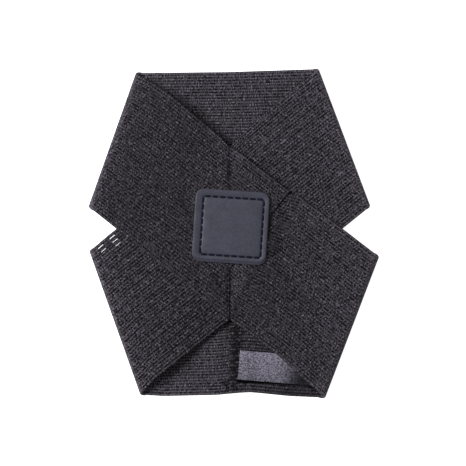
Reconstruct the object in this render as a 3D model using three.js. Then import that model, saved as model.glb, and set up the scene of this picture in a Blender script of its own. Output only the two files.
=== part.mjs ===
// Ankle wrap: a wide ribbed elastic band folded flat into a figure of eight and lying on its back.
// The ankle loop is towards +Y, the foot loop towards -Y, and the heel gap is between the two back bands.
// Millimetres, +Z up. The origin is under the middle of the wrap, on the surface that it lies on.
import * as THREE from "three";

// Cloth: its thickness, the clearance between layers that touch, and the ends pressed flat where they lap.
const CLOTH = 1.2;
const CLEAR = 0.3;
const PRESSED = 0.8;
const LAYER = CLOTH + CLEAR;

// Heights: the back bands lie on the surface, and the front layers rise from the folds to the crossing.
const BACK_MID = CLOTH / 2;
const FRONT_MID = 4.8;
const RISE = 3.0;
const RAMP = 45;

// The four folds in plan, each from edge a of the band to edge b, with the front layer that leaves it.
const FOLDS = {
  upperLeft: { a: [-49.7, 81.2], b: [-73.7, 13.9], layer: 1 },
  upperRight: { a: [42.9, 83.2], b: [68.9, 14.5], layer: 0 },
  lowerLeft: { a: [-73.1, -8.7], b: [-47.0, -82.2], layer: 0 },
  lowerRight: { a: [73.7, -11.4], b: [45.8, -83.2], layer: 1 },
};

// The front seam runs straight down the middle of the crossing.
const SEAM_X = -2.6;

// Lines across the band where it is cut, or where an edge changes direction. A corner is a bend in the cut.
const CUTS = {
  overEnd: { a: [27.8, 22.0], b: [SEAM_X, -42.9], corner: [SEAM_X, -17.6] },
  ankleBack: { a: [-8.7, -7.0], b: [-8.7, -81.1] },
  ankleLap: { a: [4.5, -6.4], b: [4.5, -79.8] },
  footLap: { a: [SEAM_X, -4.7], b: [SEAM_X, -80.2] },
  footBack: { a: [8.0, -5.6], b: [8.0, -79.6] },
  footPull: { a: [33.4, 18.9], b: [4.6, -48.9] },
  footUnder: { a: [27.1, 20.6], b: [SEAM_X, -42.9] },
  footEnd: { a: [-24.4, 59.0], b: [-24.4, -22.5] },
};

// Where the over strap steps up onto the hidden end of the foot strap, from x to x.
const STEP_UP = { from: -50, to: -26 };

// Where the lapped ends at the lower back are pressed thin and lifted, from x to x.
const LAP_PRESS = { from: -9, to: -4 };
const LAP_LIFT = { from: 6, to: 13 };

// The badge: a square with round corners, sewn on at the crossing. The profile runs up its side and over its face.
const BADGE = { x: -1.8, y: 4.1, width: 36.7, corner: 4.4, turn: -4 };
const BADGE_PROFILE = [
  { inset: 0.4, height: 0 },
  { inset: 0, height: 0.4 },
  { inset: 0, height: 1.3 },
  { inset: 0.25, height: 1.65 },
  { inset: 0.7, height: 1.8 },
  { inset: 2.8, height: 1.8 },
  { inset: 3.1, height: 1.45 },
  { inset: 3.7, height: 1.45 },
  { inset: 4.1, height: 1.9 },
  { inset: 4.9, height: 2.2 },
];

// How far the badge's stitches pull the foot strap up to it, and how far out that reaches.
const BADGE_PULL = 1.3;
const BADGE_PULL_REACH = 8;
const BADGE_PULL_RAMP = { from: 3, to: 8 };

// The size tab: its left end is caught in the lap seam and its free end lifts a little.
const LABEL = { x: 2.4, y: -66.4, width: 15, length: 40, thickness: 1.0, turn: -5.3, lift: 0.9 };

// How finely the band is divided: across it, around a fold, and along its panels.
const ROWS = 12;
const CORNER_ROW = 9;
const FOLD_STEPS = 8;
const PANEL_STEP = 5;
const BADGE_ARC_STEPS = 6;

const plan = ([x, y]) => new THREE.Vector2(x, y);
const mix = THREE.MathUtils.lerp;
const ease = THREE.MathUtils.smoothstep;
const wave = (angle) => ({ sin: Math.sin(angle), cos: Math.cos(angle) });

// The height of the middle of the cloth where a front layer leaves a fold.
const frontMid = (layer) => FRONT_MID + layer * LAYER;

// A fold's own axes: along the fold, inwards to the middle of the wrap, its bend radius and its inset.
function foldFrame({ a, b, layer }) {
  const start = plan(a);
  const along = plan(b).sub(start).normalize();
  const inward = new THREE.Vector2(-along.y, along.x);
  if (inward.dot(start) > 0) inward.negate();
  const radius = (frontMid(layer) - BACK_MID) / 2;
  return { start, end: plan(b), along, inward, radius, inset: radius + CLOTH / 2 };
}

// How high the front layers have risen at a place in plan, from nothing at the folds to RISE at the crossing.
function rise(x, y) {
  const place = new THREE.Vector2(x, y);
  const softness = 6;
  let sum = 0;
  for (const fold of Object.values(FOLDS)) {
    const { start, inward, inset } = foldFrame(fold);
    const depth = place.clone().sub(start).dot(inward) - inset;
    sum += Math.exp(-depth / softness);
  }
  const share = THREE.MathUtils.clamp((-softness * Math.log(sum)) / RAMP, 0, 1);
  return RISE * (1 - (1 - share) ** 2);
}

// 0 where the over strap covers the foot strap, rising to 1 past the over strap's cut end.
function uncovered(x, y) {
  const { a, corner } = CUTS.overEnd;
  const cut = plan(corner).sub(plan(a)).normalize();
  const outward = new THREE.Vector2(-cut.y, cut.x);
  const past = Math.min(new THREE.Vector2(x, y).sub(plan(a)).dot(outward), x - SEAM_X);
  return ease(past, BADGE_PULL_RAMP.from, BADGE_PULL_RAMP.to);
}

// 1 under the badge, falling to 0 a little way outside it.
function underBadge(x, y) {
  const away = Math.max(Math.abs(x - BADGE.x), Math.abs(y - BADGE.y)) - BADGE.width / 2;
  return 1 - ease(away, 0, BADGE_PULL_REACH);
}

// The layers: the height of the middle of the cloth and its thickness at a place in plan.
const layers = {
  under: (x, y) => ({ mid: frontMid(0) + rise(x, y), thickness: CLOTH }),
  over: (x, y) => ({
    mid: frontMid(1) + rise(x, y) + LAYER * ease(x, STEP_UP.from, STEP_UP.to),
    thickness: CLOTH,
  }),
  foot: (x, y) => ({
    mid: frontMid(1) + rise(x, y) + BADGE_PULL * underBadge(x, y) * uncovered(x, y),
    thickness: CLOTH,
  }),
  back: () => ({ mid: BACK_MID, thickness: CLOTH }),
  ankleLap: (x) => {
    const thickness = mix(CLOTH, PRESSED, ease(x, LAP_PRESS.from, LAP_PRESS.to));
    return { mid: thickness / 2, thickness };
  },
  footLap: (x) => {
    const lift = 1 - ease(x, LAP_LIFT.from, LAP_LIFT.to);
    const thickness = mix(CLOTH, PRESSED, lift);
    return { mid: lift * (PRESSED + CLEAR) + thickness / 2, thickness };
  },
};

// The places across a cut, from edge a to edge b, by way of its corner if it has one.
function cutRow({ a, b, corner }) {
  return Array.from({ length: ROWS + 1 }, (_, row) => {
    if (!corner) return plan(a).lerp(plan(b), row / ROWS);
    if (row <= CORNER_ROW) return plan(a).lerp(plan(corner), row / CORNER_ROW);
    return plan(corner).lerp(plan(b), (row - CORNER_ROW) / (ROWS - CORNER_ROW));
  });
}

// The band around a fold, from its back to its front. The edges head for the cuts before and after the fold.
function foldBend(fold, backAim, frontAim) {
  const { start, end, along, inward, radius, inset } = foldFrame(fold);
  const drift = (corner, aim) => {
    const way = plan(aim).sub(corner);
    return way.dot(along) / way.dot(inward);
  };
  const slope = (aim, share) => mix(drift(start, aim.a), drift(end, aim.b), share);
  const stations = [];
  for (let step = 0; step <= FOLD_STEPS; step++) {
    const { sin, cos } = wave((step / FOLD_STEPS - 0.5) * Math.PI);
    const aim = sin < 0 ? backAim : frontAim;
    const station = [];
    for (let row = 0; row <= ROWS; row++) {
      const share = row / ROWS;
      const place = start.clone().lerp(end, share);
      place.addScaledVector(inward, inset - radius * cos);
      place.addScaledVector(along, slope(aim, share) * inset * Math.abs(sin));
      station.push({ x: place.x, y: place.y, z: BACK_MID + radius * (1 + sin), thickness: CLOTH });
    }
    stations.push(station);
  }
  return stations;
}

// A panel of the band between two rows of places, lying on a layer.
function panel(from, to, layer) {
  const steps = Math.max(1, Math.round(from[0].distanceTo(to[0]) / PANEL_STEP));
  return Array.from({ length: steps + 1 }, (_, step) =>
    from.map((place, row) => {
      const { x, y } = place.clone().lerp(to[row], step / steps);
      const { mid, thickness } = layer(x, y);
      return { x, y, z: mid, thickness };
    }),
  );
}

const rowOf = (station) => station.map(({ x, y }) => new THREE.Vector2(x, y));

// Joins stretches of stations end to end, leaving out each stretch's first station after the first stretch.
const joined = (...stretches) => stretches.flatMap((stretch, i) => (i ? stretch.slice(1) : stretch));

// A closed sheet through stations of places: each place moves half a thickness to either side.
function sheet(stations) {
  const count = stations.length;
  const width = stations[0].length;
  const at = (i, j) => {
    const place = stations[THREE.MathUtils.clamp(i, 0, count - 1)][THREE.MathUtils.clamp(j, 0, width - 1)];
    return new THREE.Vector3(place.x, place.y, place.z);
  };
  const faces = [[], []];
  for (let i = 0; i < count; i++) {
    for (let j = 0; j < width; j++) {
      const lengthwise = at(i + 1, j).sub(at(i - 1, j));
      const crosswise = at(i, j + 1).sub(at(i, j - 1));
      const normal = lengthwise.cross(crosswise).normalize();
      const half = stations[i][j].thickness / 2;
      faces[0].push(at(i, j).addScaledVector(normal, half));
      faces[1].push(at(i, j).addScaledVector(normal, -half));
    }
  }
  const points = faces.flat();
  const top = (i, j) => i * width + j;
  const under = (i, j) => count * width + i * width + j;
  const index = [];
  const quad = (p, q, r, s) => index.push(p, q, r, p, r, s);
  for (let i = 0; i < count - 1; i++) {
    for (let j = 0; j < width - 1; j++) {
      quad(top(i, j), top(i + 1, j), top(i + 1, j + 1), top(i, j + 1));
      quad(under(i, j), under(i, j + 1), under(i + 1, j + 1), under(i + 1, j));
    }
    quad(top(i, 0), under(i, 0), under(i + 1, 0), top(i + 1, 0));
    quad(top(i, width - 1), top(i + 1, width - 1), under(i + 1, width - 1), under(i, width - 1));
  }
  for (let j = 0; j < width - 1; j++) {
    quad(top(0, j), top(0, j + 1), under(0, j + 1), under(0, j));
    quad(top(count - 1, j), under(count - 1, j), under(count - 1, j + 1), top(count - 1, j + 1));
  }
  const geometry = new THREE.BufferGeometry().setFromPoints(points).setIndex(index);
  geometry.computeVertexNormals();
  return geometry;
}

// The ankle strap: over strap, upper left fold, upper back, upper right fold, under strap, lower left fold, lap.
function ankleStrap() {
  const { upperLeft, upperRight, lowerLeft } = FOLDS;
  const over = cutRow(CUTS.overEnd);
  const lap = cutRow(CUTS.ankleLap);
  const left = foldBend(upperLeft, upperRight, CUTS.overEnd).reverse();
  const right = foldBend(upperRight, upperLeft, lowerLeft);
  const lower = foldBend(lowerLeft, CUTS.ankleBack, upperRight).reverse();
  const back = cutRow(CUTS.ankleBack);
  return sheet(
    joined(
      panel(over, rowOf(left[0]), layers.over),
      left,
      panel(rowOf(left.at(-1)), rowOf(right[0]), layers.back),
      right,
      panel(rowOf(right.at(-1)), rowOf(lower[0]), layers.under),
      lower,
      panel(rowOf(lower.at(-1)), back, layers.ankleLap),
      panel(back, lap, layers.ankleLap),
    ),
  );
}

// The foot strap: lap, lower right fold, and the arm that ends under the over strap.
function footStrap() {
  const lap = cutRow(CUTS.footLap);
  const back = cutRow(CUTS.footBack);
  const bend = foldBend(FOLDS.lowerRight, CUTS.footBack, CUTS.footPull);
  const arm = [rowOf(bend.at(-1)), cutRow(CUTS.footPull), cutRow(CUTS.footUnder), cutRow(CUTS.footEnd)];
  return sheet(
    joined(
      panel(lap, back, layers.footLap),
      panel(back, rowOf(bend[0]), layers.footLap),
      bend,
      panel(arm[0], arm[1], layers.foot),
      panel(arm[1], arm[2], layers.foot),
      panel(arm[2], arm[3], layers.foot),
    ),
  );
}

// The badge's outline, moved in from its edge, anticlockwise from above.
function badgeRing(inset) {
  const radius = Math.max(BADGE.corner - inset, 0.6);
  const reach = BADGE.width / 2 - inset - radius;
  const ring = [];
  for (let corner = 0; corner < 4; corner++) {
    const middle = wave((corner + 0.5) * (Math.PI / 2));
    for (let step = 0; step <= BADGE_ARC_STEPS; step++) {
      const { sin, cos } = wave((corner + step / BADGE_ARC_STEPS) * (Math.PI / 2));
      ring.push([Math.sign(middle.cos) * reach + radius * cos, Math.sign(middle.sin) * reach + radius * sin]);
    }
  }
  return ring;
}

// The badge: rings stacked up its profile, closed by a fan below and a fan above.
function badge() {
  const rings = BADGE_PROFILE.map(({ inset, height }) => badgeRing(inset).map(([x, y]) => [x, y, height]));
  const size = rings[0].length;
  const points = rings.flat().map((place) => new THREE.Vector3(...place));
  const index = [];
  for (let level = 0; level < rings.length - 1; level++) {
    for (let i = 0; i < size; i++) {
      const low = level * size + i;
      const lowNext = level * size + ((i + 1) % size);
      index.push(low, lowNext, lowNext + size, low, lowNext + size, low + size);
    }
  }
  const bottom = points.push(new THREE.Vector3(0, 0, BADGE_PROFILE[0].height)) - 1;
  const face = points.push(new THREE.Vector3(0, 0, BADGE_PROFILE.at(-1).height)) - 1;
  const last = (rings.length - 1) * size;
  for (let i = 0; i < size; i++) {
    const next = (i + 1) % size;
    index.push(bottom, next, i);
    index.push(face, last + i, last + next);
  }
  const geometry = new THREE.BufferGeometry().setFromPoints(points).setIndex(index);
  geometry.computeVertexNormals();
  return geometry;
}

// The size tab: a strip that follows the foot strap from the lap seam and lifts towards its free end.
function label() {
  const { sin, cos } = wave(THREE.MathUtils.degToRad(LABEL.turn));
  const steps = 10;
  const across = 4;
  const stations = Array.from({ length: steps + 1 }, (_, step) =>
    Array.from({ length: across + 1 }, (_, row) => {
      const share = step / steps;
      const along = share * LABEL.length;
      const side = (0.5 - row / across) * LABEL.width;
      const x = LABEL.x + along * cos - side * sin;
      const y = LABEL.y + along * sin + side * cos;
      const { mid, thickness } = layers.footLap(x);
      const foot = mid + thickness / 2 + CLEAR + LABEL.lift * share ** 2;
      return { x, y, z: foot + LABEL.thickness / 2, thickness: LABEL.thickness };
    }),
  );
  return sheet(stations);
}

const charcoal = { color: 0x343237, roughness: 0.95, metalness: 0 };
const wrap = new THREE.Group();

function add(name, geometry, finish) {
  const mesh = new THREE.Mesh(geometry, new THREE.MeshStandardMaterial(finish));
  mesh.name = name;
  wrap.add(mesh);
  return mesh;
}

add("ankle_strap", ankleStrap(), charcoal);
add("foot_strap", footStrap(), charcoal);
add("label", label(), { color: 0x686571, roughness: 0.45, metalness: 0 });
const patch = add("badge", badge(), { color: 0x4a4a55, roughness: 0.6, metalness: 0 });
patch.position.set(BADGE.x, BADGE.y, layers.over(BADGE.x, BADGE.y).mid + CLOTH / 2 + CLEAR);
patch.rotation.z = THREE.MathUtils.degToRad(BADGE.turn);

export default wrap;
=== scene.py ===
"""Ankle wrap, dressed for looks: ribbed elastic straps, a moulded badge, a satin size tab and stitches.

Laid out as an add-on and run as a script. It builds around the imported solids, in metres, with +Z up.
"""
import math
from collections import namedtuple

import bpy
import numpy as np
from bpy.props import FloatProperty, FloatVectorProperty, PointerProperty
from mathutils import Matrix, Vector


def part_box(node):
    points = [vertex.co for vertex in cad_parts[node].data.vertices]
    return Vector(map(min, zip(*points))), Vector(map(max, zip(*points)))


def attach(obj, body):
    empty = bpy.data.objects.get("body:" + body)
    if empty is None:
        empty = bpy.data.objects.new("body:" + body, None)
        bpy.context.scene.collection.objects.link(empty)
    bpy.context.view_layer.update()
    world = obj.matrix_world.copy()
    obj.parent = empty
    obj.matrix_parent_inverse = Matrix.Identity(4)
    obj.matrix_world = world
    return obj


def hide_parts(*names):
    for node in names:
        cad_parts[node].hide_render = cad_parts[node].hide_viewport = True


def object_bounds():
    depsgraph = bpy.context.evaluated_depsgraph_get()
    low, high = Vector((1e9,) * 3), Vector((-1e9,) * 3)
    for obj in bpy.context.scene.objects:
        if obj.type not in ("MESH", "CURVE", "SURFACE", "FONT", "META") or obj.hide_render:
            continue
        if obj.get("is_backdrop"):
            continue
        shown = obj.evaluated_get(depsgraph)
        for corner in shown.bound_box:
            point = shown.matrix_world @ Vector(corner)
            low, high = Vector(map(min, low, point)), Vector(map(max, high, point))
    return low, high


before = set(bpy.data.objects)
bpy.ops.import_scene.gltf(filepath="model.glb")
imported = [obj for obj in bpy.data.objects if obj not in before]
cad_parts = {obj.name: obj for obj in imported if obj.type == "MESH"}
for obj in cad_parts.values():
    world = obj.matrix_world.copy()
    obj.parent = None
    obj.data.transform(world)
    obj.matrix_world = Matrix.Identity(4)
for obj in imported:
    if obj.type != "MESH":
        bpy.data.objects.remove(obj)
CAD_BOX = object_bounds()

bl_info = {
    "name": "Ankle Wrap",
    "version": (1, 0, 0),
    "blender": (4, 5, 0),
    "location": "View3D > Sidebar > Ankle Wrap",
    "description": "Makes a folded elastic ankle wrap with its badge, size tab and stitching",
    "category": "Add Mesh",
}

MM = 0.001
BODY = "root"

# Cloth heights, as in the solids.
CLOTH = 1.2 * MM
CLEAR = 0.3 * MM
PRESSED = 0.8 * MM
LAYER = CLOTH + CLEAR
BACK_MID = CLOTH / 2
FRONT_MID = 4.8 * MM
RISE = 3.0 * MM
RAMP = 45 * MM
RISE_SOFTNESS = 6 * MM

# How finely the cloth is divided: across each rib, around a fold, and along its panels.
RIBS = 46
RIB_COLUMNS = 4
FOLD_STEPS = 14
FINE_STEP = 1.0 * MM
SLOT_STEP = 2.1 * MM
PLAIN_STEP = 4.0 * MM
SHARES = np.linspace(0, 1, RIBS * RIB_COLUMNS + 1)

# Edges sharper than these angles stay sharp: on cloth and stitches, and on the badge.
SMOOTH_ANGLE = math.radians(75)
BADGE_SMOOTH_ANGLE = math.radians(50)


def place(x, y):
    """A place in plan, given in millimetres."""
    return np.array((x, y), float) * MM


Fold = namedtuple("Fold", "a b layer glow")
FoldFrame = namedtuple("FoldFrame", "start end along inward radius inset")
Cut = namedtuple("Cut", "a b corner", defaults=(None,))
Stretch = namedtuple("Stretch", "places thickness dents finish")
Finish = namedtuple("Finish", "shade bold lined smooth", defaults=(0, 0))
Furrow = namedtuple("Furrow", "start end depth half_width pucker", defaults=(0,))
Pull = namedtuple("Pull", "depth reach bow", defaults=(0,))
Gain = namedtuple("Gain", "dark_x light_x darkest")
Swell = namedtuple("Swell", "at height reach")

# The four folds in plan, from edge a of the band to edge b. Each has the number of the front layer that
# leaves it, and its glow: the share of painted light on its cloth, larger on the left folds that face the
# key.
UPPER_LEFT = Fold(place(-49.7, 81.8), place(-73.7, 14.1), 1, 0.6)
UPPER_RIGHT = Fold(place(42.8, 83.8), place(69.0, 14.3), 0, 0.42)
LOWER_LEFT = Fold(place(-73.3, -8.7), place(-47.5, -81.3), 0, 0.62)
LOWER_RIGHT = Fold(place(73.4, -11.4), place(46.1, -82.8), 1, 0.35)
FOLDS = (UPPER_LEFT, UPPER_RIGHT, LOWER_LEFT, LOWER_RIGHT)

# Lines across the band where it is cut or an edge changes direction. The front seam is straight.
SEAM_X = -2.6
OVER_END = Cut(place(27.8, 22.0), place(SEAM_X, -42.9), place(SEAM_X, -17.6))
BACK_MIDDLE = Cut(place(-3.1, 82.3), place(-2.4, 14.2))
UNDER_MIDDLE = Cut(place(-20.9, 32.7), place(-2.1, -42.9))
UNDER_BOW = Cut(place(-63.5, -0.35), place(-40.0, -73.0))
LOWER_BOW = Cut(place(-50.0, -14.5), place(-35.5, -82.0))
ANKLE_BACK = Cut(place(-8.7, -13.5), place(-8.7, -81.4))
ANKLE_LAP = Cut(place(4.5, -12.0), place(4.5, -80.2))
FOOT_LAP = Cut(place(SEAM_X, -4.7), place(SEAM_X, -80.6))
FOOT_BACK = Cut(place(8.0, -5.6), place(8.0, -80.0))
FOOT_STRIP = Cut(place(42.6, -8.7), place(28.0, -82.0))
FOOT_BOW = Cut(place(55.6, 2.2), place(21.2, -60.2))
FOOT_PULL = Cut(place(33.4, 18.9), place(4.6, -47.6))
FOOT_UNDER = Cut(place(27.1, 20.6), place(SEAM_X, -42.9))
FOOT_END = Cut(place(-24.4, 59.0), place(-24.4, -22.5))
CORNER_SHARE = 0.75

# Where the over strap steps up, where the lapped ends are pressed and lifted, how the badge pulls up the
# cloth beside it, and where the cut end is pressed.
STEP_UP = (-50 * MM, -26 * MM)
LAP_PRESS = (-9 * MM, -4 * MM)
LAP_LIFT = (6 * MM, 13 * MM)
BADGE_PULL = 1.7 * MM
BADGE_PULL_REACH = 8 * MM
BADGE_PULL_RAMP = (0.5 * MM, 3.5 * MM)
END_PRESS = (0.0, 4 * MM)

# The tone of each part of the band, with painted shade in some parts, how bold its dark dashes and stripes
# are, and how plainly lined it looks. The last value, how smooth its ribs are, is set by the folds alone.
OUTSIDE = Finish(1.1, 0.5)
BACK = Finish(1.38, 0.25, 0.6)
# LAP, FOOT_INSIDE and FOOT_CORNER are darkened with painted shade, under the foot strap's arm inside its
# loop.
LAP = Finish(1.05, 0.5, 0.8)
FOOT_INSIDE = Finish(0.56, 0.4, 0.6)
FOOT_CORNER = Finish(0.66, 0.4, 0.6)
OVER = Finish(0.87, 0.25)
# OVER_FOLD is darker than OVER, carrying the over strap's painted shade round its fold.
OVER_FOLD = Finish(0.68, 0.25)
UPPER_UNDER = Finish(1.12, 0.45)
LOWER_UNDER = Finish(0.89, 0.95)
FOOT = Finish(1.1, 0.25)
FOLD_SMOOTHNESS = 0.95

# Painted light: the cloth is painted lighter beside its folds and along its edges. Painted shade: the over
# strap and the foot strap's arm are painted darker from one x to another. Cloth that faces down takes the
# outside's tone, without the painted light.
FOLD_PAINTED_LIGHT_REACH = 7 * MM
FACING_RANGE = (-0.5, 0.3)
EDGE_PAINTED_LIGHT = 0.45
EDGE_PAINTED_LIGHT_REACH = 1.0 * MM
# Painted shade: the over strap is darker towards its left fold, and the foot strap's arm towards the front
# seam.
OVER_PAINTED_SHADE = Gain(-42 * MM, 8 * MM, 0.72)
FOOT_PAINTED_SHADE = Gain(12 * MM, 50 * MM, 0.66)

# Furrows pressed into the upper face of the cloth, each also darkened with painted shade by its depth. The
# over strap has the front seam, its cut end, two pulled creases and a small pucker. The others are on the
# lap, beside the cut end and at the lower right; the last two are mostly painted shadow, of the over strap's
# cut end and of the foot strap's arm.
SEAM_FURROW = 0.6 * MM
SEAM_PUCKER = 3.1 * MM
OVER_FURROWS = (
    Furrow(place(SEAM_X, 46.0), place(SEAM_X, 20.0), SEAM_FURROW, 1.0 * MM, SEAM_PUCKER),
    Furrow(place(SEAM_X - 0.9, -15.0), place(SEAM_X - 0.9, -44.0), 0.35 * MM, 0.7 * MM, SEAM_PUCKER),
    Furrow(place(-28.4, 20.9), place(-20.8, 7.8), 0.28 * MM, 1.2 * MM),
    Furrow(place(-13.7, -14.0), place(-4.1, -31.8), 0.4 * MM, 0.8 * MM),
    Furrow(place(-24.8, 21.6), place(-24.0, 20.6), 0.35 * MM, 0.8 * MM),
)
LAP_FURROWS = (Furrow(place(1.4, -40.0), place(1.4, -90.0), 0.12 * MM, 4.0 * MM),)
FOOT_SHADOW_FURROWS = (Furrow(place(SEAM_X + 3.0, -14.0), place(SEAM_X + 3.0, -44.0), 0.12 * MM, 2.6 * MM),)
STRIP_SHADOW_FURROWS = (Furrow(place(34.0, -73.2), place(44.5, -80.6), 0.5 * MM, 1.4 * MM),)
FURROW_PAINTED_SHADE = 0.9
FURROW_ENDS = (0.08, 0.92)
PUCKER_SHARE = 0.3

# Where the front layers are pressed down or stand off the back: at both ends of the crossing, and along the
# free edges of the two left arms.
SWELLS = (
    Swell(place(SEAM_X, -44.0), -3.0 * MM, 16 * MM),
    Swell(place(-8.0, 50.0), -2.6 * MM, 13 * MM),
    Swell(place(-34.0, 69.0), 0.8 * MM, 10 * MM),
    Swell(place(-34.0, -69.5), 1.0 * MM, 10 * MM),
    Swell(place(-26.0, -62.0), -0.7 * MM, 9 * MM),
    Swell(place(-15.0, -54.0), -2.9 * MM, 13 * MM),
)

# How far the front seam draws down the upper edges of the straps that it crosses, and how far the edge of
# the over strap bows up.
OVER_PULL = Pull(1.5 * MM, 2.5 * MM, 1.9 * MM)
UNDER_PULL = Pull(4.0 * MM, 10 * MM)
PULL_FADE = 12 * MM
BOW_SKEW = 3.5
BOW_FADE = 25 * MM

# Open slots in the knit: the place of the first, how they close further from the strap's edge, and where
# they are shut.
SLOT_AT = place(-61.0, -2.1)
SLOT_CLOSING = 0.3
SLOT_CLOSING_RANGE = (1, 3)
SLOT_FIRST_COLUMN = 5
SLOT_COLUMNS = 6
SLOT_SHUT_AFTER = 2
SLOT_SHUT_ABOVE = -15 * MM

# How the cloth thins at its selvages: the reach of its round edge, how thin that is, and what is left of its
# ribs there.
EDGE_REACH = 0.7 * MM
EDGE_THINNEST = 0.35
SELVAGE_RIBS = 0.35

# The stage: the middle of the view, the camera's sensor in millimetres, the floor, and the key light to
# the left and towards the ankle loop.
VIEW_CENTRE = place(-0.55, 0.66)
SENSOR = 36
FLOOR_SIZE = 8.0
FLOOR_COLOUR = (0.92, 0.92, 0.92, 1)
FLOOR_ROUGHNESS = 0.8
WHITE = (1, 1, 1, 1)
KEY_PLACE = (-0.87, 0.37, 0.95)
KEY_SIZE = 0.6

# The badge's section, as steps inwards and upwards in millimetres: its wall, its border, then its groove and
# panel. The wall stands on a low foot and slopes at its lower side.
BADGE_FOOT = 0.35 * MM
BADGE_CORNER_SEGMENTS = 8
BADGE_WALL = ((0.1, 0.1), (0.1, 0.02), (0.04, 0.5))
BADGE_BORDER = ((0.08, 0.12), (0.15, 0.07), (0.25, 0.01), (0.2, 0.0), (1.85, 0.0))
BADGE_SLOPE = 1.1 * MM
BADGE_PANEL = ((0.2, -0.1), (0.2, -0.3), (0.5, 0.0), (0.2, 0.3), (0.3, 0.18), (0.6, 0.1), (2.5, 0.05))

# Where the badge lies off the middle of its solid, where its panel lies and how much shorter that is than the
# border, and where its stitches lie.
BADGE_SHIFT = place(0.18, -0.28)
PANEL_CENTRE = place(0.6, -0.08)
PANEL_SHORTER = 0.36 * MM
STITCH_INSET = 3.6 * MM
STITCH_HEIGHT = 0.82 * MM

# All stitches: how finely a strand is divided, and how far its middle lifts.
THREAD_SEGMENTS = 10
THREAD_RINGS = 6
STITCH_LIFT = 0.1 * MM
ZIGZAG_LIFT = 0.15 * MM

# The swellings between the badge's stitches.
BRIDGE_INSET = 4.35 * MM
BRIDGE_HEIGHT = 0.52 * MM
BRIDGE_LENGTH = 1.8 * MM
BRIDGE_WIDTH = 1.5 * MM

# The size tab: where it is caught, how high its two plies are, and where its upper ply is darkened with the
# painted shadow of the foot strap's arm.
TAB_START = place(2.4, -66.1)
TAB_HEIGHT = 1.0 * MM
TAB_ROWS = 40
TAB_COLUMNS = 30
TAB_PAINTED_SHADOW = 0.85
TAB_PAINTED_SHADOW_RANGE = (0.48, 0.8)
TAB_SHADE = (1.1, 0.7)
# The under ply is painted nearly black, as the shadow below the tab where it slips out.
UNDER_PLY_PAINTED_SHADE = 0.02

# Rows of straight stitches on the over strap: their x, the y of their ends, and how far they are sunk.
SEAM_SWAY = 0.25
SEAM_ROWS = ((SEAM_X, 44.0, 24.5, 0.4 * MM), (SEAM_X - 0.9, -17.5, -41.0, 0.25 * MM))

# Zigzags on the lap: the x of their sides and the y of their ends. The tab covers the rest of the right one.
LAP_ZIGZAGS = (
    (-1.9, 1.9, -46.0, -79.0),
    (-0.9, 2.6, -47.2, -78.5),
    (1.2, 4.4, -46.0, -57.5),
    (-5.8, -2.6, -74.0, -79.8),
)


def badge_centre():
    """The middle of the badge in plan, and the lowest height of its solid."""
    low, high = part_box("badge")
    return np.array(((low.x + high.x) / 2, (low.y + high.y) / 2)) + BADGE_SHIFT, low.z


def length_property(name, description, millimetres):
    """A length, given in millimetres."""
    return FloatProperty(name=name, description=description, default=millimetres * MM, unit="LENGTH")


def angle_property(name, description, degrees):
    """An angle, given in degrees."""
    return FloatProperty(name=name, description=description, default=math.radians(degrees), subtype="ANGLE")


def colour_property(name, description, colour):
    """An opaque colour, given as red, green and blue."""
    return FloatVectorProperty(
        name=name, description=description, default=(*colour, 1), subtype="COLOR", size=4
    )


class WrapBand(bpy.types.PropertyGroup):
    """The ribbed elastic band."""

    width: length_property("Width", "Width of the flat band", 70)
    ankle_length: length_property("Ankle strap length", "Flat length of the ankle strap", 423)
    foot_length: length_property("Foot strap length", "Flat length of the foot strap", 170)
    rib_depth: length_property("Rib depth", "Depth of the valleys between ribs", 0.2)
    selvage: length_property("Selvage", "Width of the smoother edge of the band", 3.2)
    slot_pitch: length_property("Slot pitch", "Distance between slots along the band", 7.65)
    slot_length: length_property("Slot length", "Length of an open slot", 3.3)
    slot_width: length_property("Slot width", "Width of the widest slots", 0.3)
    # The gap colour is painted shade deep between the yarns.
    shadow: colour_property("Gap colour", "Colour deep between the yarns", (0.004, 0.0038, 0.0045))
    light: colour_property("Yarn colour", "Colour of the lightest yarns", (0.134, 0.122, 0.149))
    warm_light: colour_property(
        "Warm yarn colour", "Colour of the lightest yarns in the warmer patches", (0.137, 0.121, 0.146)
    )


class WrapBadge(bpy.types.PropertyGroup):
    """The moulded badge and its stitches."""

    width: length_property("Width", "Width of the badge", 37.5)
    height: length_property("Height", "Height of the badge", 36.7)
    corner: length_property("Corner", "Radius of its corners", 4.4)
    turn: angle_property("Turn", "Turn about the vertical", -3.7)
    stitch_pitch: length_property("Stitch pitch", "Distance between stitches", 3.65)
    stitch_length: length_property("Stitch length", "Length of a stitch", 3.1)
    thread: length_property("Thread", "Thickness of the thread", 1.15)
    colour: colour_property("Rubber colour", "Colour of the rubber", (0.032, 0.032, 0.051))
    thread_colour: colour_property("Thread colour", "Colour of the thread", (0.0035, 0.003, 0.009))


class WrapLabel(bpy.types.PropertyGroup):
    """The folded satin size tab."""

    width: length_property("Width", "Width of the tape", 14.7)
    length: length_property("Length", "Length once folded", 40)
    ply: length_property("Ply", "Thickness of the tape", 0.3)
    turn: angle_property("Turn", "Turn about the vertical", -4.8)
    lift: length_property("Lift", "How far the free end lifts", 0.9)
    slip: length_property("Slip", "How far the under ply shows below the upper one", 1.4)
    colour: colour_property("Satin colour", "Colour of the tape", (0.26, 0.245, 0.315))


class WrapSeams(bpy.types.PropertyGroup):
    """The stitching of the straps."""

    pitch: length_property("Pitch", "Distance between straight stitches", 3.1)
    stitch_length: length_property("Stitch length", "Length of a straight stitch", 2.2)
    zigzag: length_property("Zigzag", "Advance of each zigzag stitch", 2.0)
    thread: length_property("Thread", "Thickness of the thread", 0.6)
    colour: colour_property("Thread colour", "Colour of the thread", (0.005, 0.0045, 0.006))


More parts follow.
